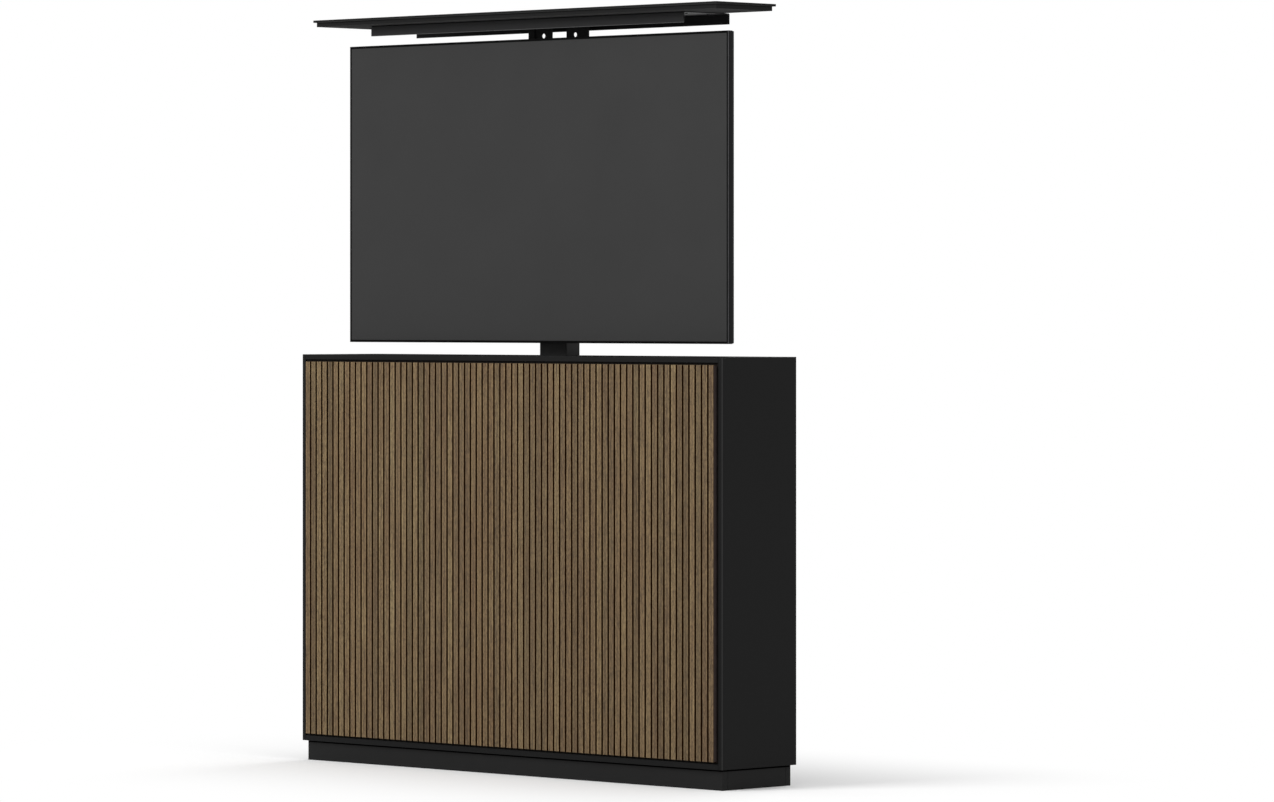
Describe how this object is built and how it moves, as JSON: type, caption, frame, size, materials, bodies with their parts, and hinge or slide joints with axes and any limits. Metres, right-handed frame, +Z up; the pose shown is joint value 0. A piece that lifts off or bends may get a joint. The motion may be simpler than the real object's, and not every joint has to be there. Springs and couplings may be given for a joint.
{
  "type": "tv lift cabinet",
  "caption": "Low black cabinet with a slatted wood front, a telescopic screw lift that raises a flat television, and a lid carried above it.",
  "frame": {"origin": "on the floor, under the middle of the cabinet's bounding box", "axes": "+Z up, +X to the right, the slatted front and the screen face -Y"},
  "size_m": [1.365, 0.247, 1.7352],
  "materials": {
    "black_lacquer": "matt black lacquered board",
    "walnut": "oiled walnut veneer slats",
    "black_board": "black dyed fibreboard",
    "birch": "raw birch ply",
    "black_steel": "black powder coat",
    "zinc_steel": "zinc plated",
    "cast_alloy": "die cast",
    "black_plastic": "moulded",
    "white_nylon": "moulded nylon",
    "lead_sheath": "soft PVC sheath",
    "tv_frame": "black anodised",
    "tv_screen": "anti-glare screen, switched off",
    "tv_plastic": "fine moulded texture"
  },
  "bodies": {
    "cabinet": {"plinth_front": "black_lacquer", "plinth_back": "black_lacquer", "plinth_left": "black_lacquer", "plinth_right": "black_lacquer", "plinth_cross_rail_left": "birch", "plinth_cross_rail_right": "birch", "bottom_panel": "black_lacquer", "side_panel_left": "black_lacquer", "side_panel_right": "black_lacquer", "back_panel": "black_board", "top_front_rail": "black_lacquer", "top_rear_rail": "black_lacquer", "top_side_rail_left": "black_lacquer", "top_side_rail_right": "black_lacquer", "lid_rest_front": "black_board", "lid_rest_left": "black_board", "lid_rest_right": "black_board", "backing_board": "black_board", "slat_panel": "walnut", "front_cleat_left": "birch", "front_cleat_right": "birch", "rear_stretcher": "birch", "back_cleat_lower_left": "birch", "back_cleat_upper_left": "birch", "back_cleat_lower_right": "birch", "back_cleat_upper_right": "birch", "cable_grommet": "black_plastic", "lift_base_plate": "black_steel", "gear_housing": "cast_alloy", "lift_motor": "black_steel", "outer_tube": "black_steel", "outer_guide_collar": "black_plastic", "column_clamp": "black_steel", "control_box": "black_plastic", "mains_inlet": "black_plastic", "motor_lead": "lead_sheath", "lead_clip": "black_plastic"},
    "middle_stage": {"middle_tube": "black_steel", "middle_foot_nut": "white_nylon", "middle_guide_collar": "black_plastic"},
    "lower_screw_body": {"lower_screw": "zinc_steel"},
    "upper_screw_body": {"upper_screw": "zinc_steel"},
    "carriage": {"inner_tube": "black_steel", "inner_foot_nut": "white_nylon", "column_head": "black_steel", "hang_plate": "black_steel", "vesa_arm_left": "black_steel", "vesa_arm_right": "black_steel", "lid_bracket_left": "black_steel", "lid_bracket_right": "black_steel", "hood_channel": "black_steel", "lid_core_board": "black_lacquer", "lid_top_board": "black_lacquer", "tv_bezel_frame": "tv_frame", "tv_screen": "tv_screen", "tv_back_cover": "tv_plastic", "tv_rear_housing": "tv_plastic"}
  },
  "joints": [
    {"name": "lift_lower", "type": "slide", "parent": "cabinet", "child": "middle_stage", "axis": [0, 0, 1], "range_m": [-0.3916, 0]},
    {"name": "lift_upper", "type": "slide", "parent": "middle_stage", "child": "carriage", "axis": [0, 0, 1], "range_m": [-0.3916, 0]},
    {"name": "lower_screw_turn", "type": "hinge", "parent": "cabinet", "child": "lower_screw_body", "pos_m": [0, 0.0588, 0.3], "axis": [0, 0, 1], "range_deg": [0, 11748]},
    {"name": "upper_screw_turn", "type": "hinge", "parent": "middle_stage", "child": "upper_screw_body", "pos_m": [0, 0.0588, 0.7], "axis": [0, 0, 1], "range_deg": [0, 11748]}
  ],
  "couplings": [
    {"joint": "lift_upper", "follows": "lift_lower", "ratio": 1},
    {"joint": "lower_screw_turn", "follows": "lift_lower", "rad_per_m": -523.6},
    {"joint": "upper_screw_turn", "follows": "lift_lower", "rad_per_m": -523.6}
  ]
}
